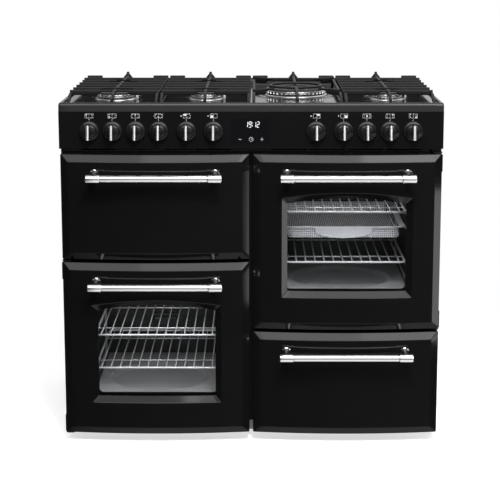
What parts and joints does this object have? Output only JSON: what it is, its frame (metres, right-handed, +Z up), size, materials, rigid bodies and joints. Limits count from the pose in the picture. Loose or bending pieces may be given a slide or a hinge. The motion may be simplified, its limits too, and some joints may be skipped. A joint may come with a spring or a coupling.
{
  "type": "range cooker with double oven",
  "caption": "Free-standing gas range cooker with a drop-down grill, side-opening ovens, a storage drawer, cast pan supports and turning controls.",
  "frame": {"origin": "middle of the bounding box on the floor", "axes": "+Z up, +X to the right of the front, -Y towards the user"},
  "size_m": [1, 0.6715, 0.947],
  "materials": {
    "black_enamel": "gloss",
    "frame_enamel": "gloss",
    "casing_paint": "satin",
    "hob_enamel": "gloss",
    "fascia_enamel": "gloss",
    "display_glass": "gloss",
    "door_glass": "gloss",
    "cavity_enamel": "satin",
    "galvanised": "satin",
    "polished_steel": "polished",
    "rack_chrome": "polished",
    "cast_iron": "matt enamel",
    "cap_enamel": "matt enamel",
    "burner_alloy": "satin",
    "knob_plastic": "satin",
    "seal_rubber": "matt",
    "unit_plastic": "matt",
    "pipe_steel": "satin",
    "element_steel": "satin",
    "foot_plastic": "matt"
  },
  "bodies": {
    "cooker": {"air_fry_basket": "rack_chrome", "back_panel": "galvanised", "base_tray": "galvanised", "burner_caps": "cap_enamel", "burner_crowns": "burner_alloy", "burner_cups": "burner_alloy", "clock_glass": "display_glass", "control_units": "unit_plastic", "door_seals": "seal_rubber", "drawer_runners": "galvanised", "fan_baffles": "cavity_enamel", "fascia_panel": "fascia_enamel", "front_frame": "frame_enamel", "gas_manifold": "pipe_steel", "grill_cavity": "cavity_enamel", "grill_pan": "cavity_enamel", "heating_elements": "element_steel", "hinge_brackets": "frame_enamel", "hob_tray": "hob_enamel", "igniters": "unit_plastic", "left_oven_cavity": "cavity_enamel", "levelling_feet": "foot_plastic", "oven_racks": "rack_chrome", "partition_panels": "galvanised", "right_oven_cavity": "cavity_enamel", "side_ladders": "rack_chrome", "side_panels": "casing_paint", "terminal_box": "unit_plastic", "vent_strip": "frame_enamel"},
    "grill_door": {"grill_door_skin": "black_enamel", "grill_door_inner_panel": "frame_enamel", "grill_door_handle": "polished_steel"},
    "left_oven_door": {"left_oven_door_skin": "black_enamel", "left_oven_door_glasses": "door_glass", "left_oven_door_inner_panel": "frame_enamel", "left_oven_door_handle": "polished_steel"},
    "right_oven_door": {"right_oven_door_skin": "black_enamel", "right_oven_door_glasses": "door_glass", "right_oven_door_inner_panel": "frame_enamel", "right_oven_door_handle": "polished_steel"},
    "drawer": {"drawer_front": "black_enamel", "drawer_box": "galvanised", "drawer_handle": "polished_steel"},
    "left_fan": {"left_oven_fan": "galvanised"},
    "right_fan": {"right_oven_fan": "galvanised"},
    "pan_support_1": {"pan_support_1": "cast_iron"},
    "pan_support_2": {"pan_support_2": "cast_iron"},
    "pan_support_3": {"pan_support_3": "cast_iron"},
    "pan_support_4": {"pan_support_4": "cast_iron"},
    "knob_01": {"knob_01": "knob_plastic"},
    "knob_02": {"knob_02": "knob_plastic"},
    "knob_03": {"knob_03": "knob_plastic"},
    "knob_04": {"knob_04": "knob_plastic"},
    "knob_05": {"knob_05": "knob_plastic"},
    "knob_06": {"knob_06": "knob_plastic"},
    "knob_07": {"knob_07": "knob_plastic"},
    "knob_08": {"knob_08": "knob_plastic"},
    "knob_09": {"knob_09": "knob_plastic"},
    "knob_10": {"knob_10": "knob_plastic"},
    "knob_11": {"knob_11": "knob_plastic"}
  },
  "joints": [
    {"name": "door_grill_drop", "type": "hinge", "parent": "cooker", "child": "grill_door", "pos_m": [-0.251, -0.26225, 0.5255], "axis": [1, 0, 0], "range_deg": [0, 90], "stiffness_Nm_per_rad": 3, "springref_deg": -17.19},
    {"name": "door_oven_left_swing", "type": "hinge", "parent": "cooker", "child": "left_oven_door", "pos_m": [-0.4835, -0.25025, 0.26], "axis": [0, 0, -1], "range_deg": [0, 100]},
    {"name": "door_oven_right_swing", "type": "hinge", "parent": "cooker", "child": "right_oven_door", "pos_m": [0.4835, -0.25025, 0.5475], "axis": [0, 0, 1], "range_deg": [0, 100]},
    {"name": "drawer_slide", "type": "slide", "parent": "cooker", "child": "drawer", "axis": [0, -1, 0], "range_m": [0, 0.36]},
    {"name": "grid_lift_1", "type": "slide", "parent": "cooker", "child": "pan_support_1", "axis": [0, 0, 1], "range_m": [0, 0.06]},
    {"name": "grid_lift_2", "type": "slide", "parent": "cooker", "child": "pan_support_2", "axis": [0, 0, 1], "range_m": [0, 0.06]},
    {"name": "grid_lift_3", "type": "slide", "parent": "cooker", "child": "pan_support_3", "axis": [0, 0, 1], "range_m": [0, 0.06]},
    {"name": "grid_lift_4", "type": "slide", "parent": "cooker", "child": "pan_support_4", "axis": [0, 0, 1], "range_m": [0, 0.06]},
    {"name": "knob_turn_01", "type": "hinge", "parent": "cooker", "child": "knob_01", "pos_m": [-0.42, -0.26425, 0.842], "axis": [0, -1, 0], "range_deg": [0, 210]},
    {"name": "knob_turn_02", "type": "hinge", "parent": "cooker", "child": "knob_02", "pos_m": [-0.36, -0.26425, 0.842], "axis": [0, -1, 0], "range_deg": [0, 210]},
    {"name": "knob_turn_03", "type": "hinge", "parent": "cooker", "child": "knob_03", "pos_m": [-0.3, -0.26425, 0.842], "axis": [0, -1, 0], "range_deg": [0, 210]},
    {"name": "knob_turn_04", "type": "hinge", "parent": "cooker", "child": "knob_04", "pos_m": [-0.24, -0.26425, 0.842], "axis": [0, -1, 0], "range_deg": [0, 210]},
    {"name": "knob_turn_05", "type": "hinge", "parent": "cooker", "child": "knob_05", "pos_m": [-0.168, -0.26425, 0.842], "axis": [0, -1, 0], "range_deg": [-300, 0]},
    {"name": "knob_turn_06", "type": "hinge", "parent": "cooker", "child": "knob_06", "pos_m": [-0.098, -0.26425, 0.842], "axis": [0, -1, 0], "range_deg": [-300, 0]},
    {"name": "knob_turn_07", "type": "hinge", "parent": "cooker", "child": "knob_07", "pos_m": [0.169, -0.26425, 0.842], "axis": [0, -1, 0], "range_deg": [-300, 0]},
    {"name": "knob_turn_08", "type": "hinge", "parent": "cooker", "child": "knob_08", "pos_m": [0.24, -0.26425, 0.842], "axis": [0, -1, 0], "range_deg": [-300, 0]},
    {"name": "knob_turn_09", "type": "hinge", "parent": "cooker", "child": "knob_09", "pos_m": [0.3, -0.26425, 0.842], "axis": [0, -1, 0], "range_deg": [0, 210]},
    {"name": "knob_turn_10", "type": "hinge", "parent": "cooker", "child": "knob_10", "pos_m": [0.36, -0.26425, 0.842], "axis": [0, -1, 0], "range_deg": [0, 210]},
    {"name": "knob_turn_11", "type": "hinge", "parent": "cooker", "child": "knob_11", "pos_m": [0.42, -0.26425, 0.842], "axis": [0, -1, 0], "range_deg": [0, 210]},
    {"name": "oven_fan_left_spin", "type": "hinge", "parent": "cooker", "child": "left_fan", "pos_m": [-0.256, 0.20575, 0.284], "axis": [0, 1, 0], "continuous": true},
    {"name": "oven_fan_right_spin", "type": "hinge", "parent": "cooker", "child": "right_fan", "pos_m": [0.246, 0.20575, 0.5715], "axis": [0, 1, 0], "continuous": true}
  ]
}
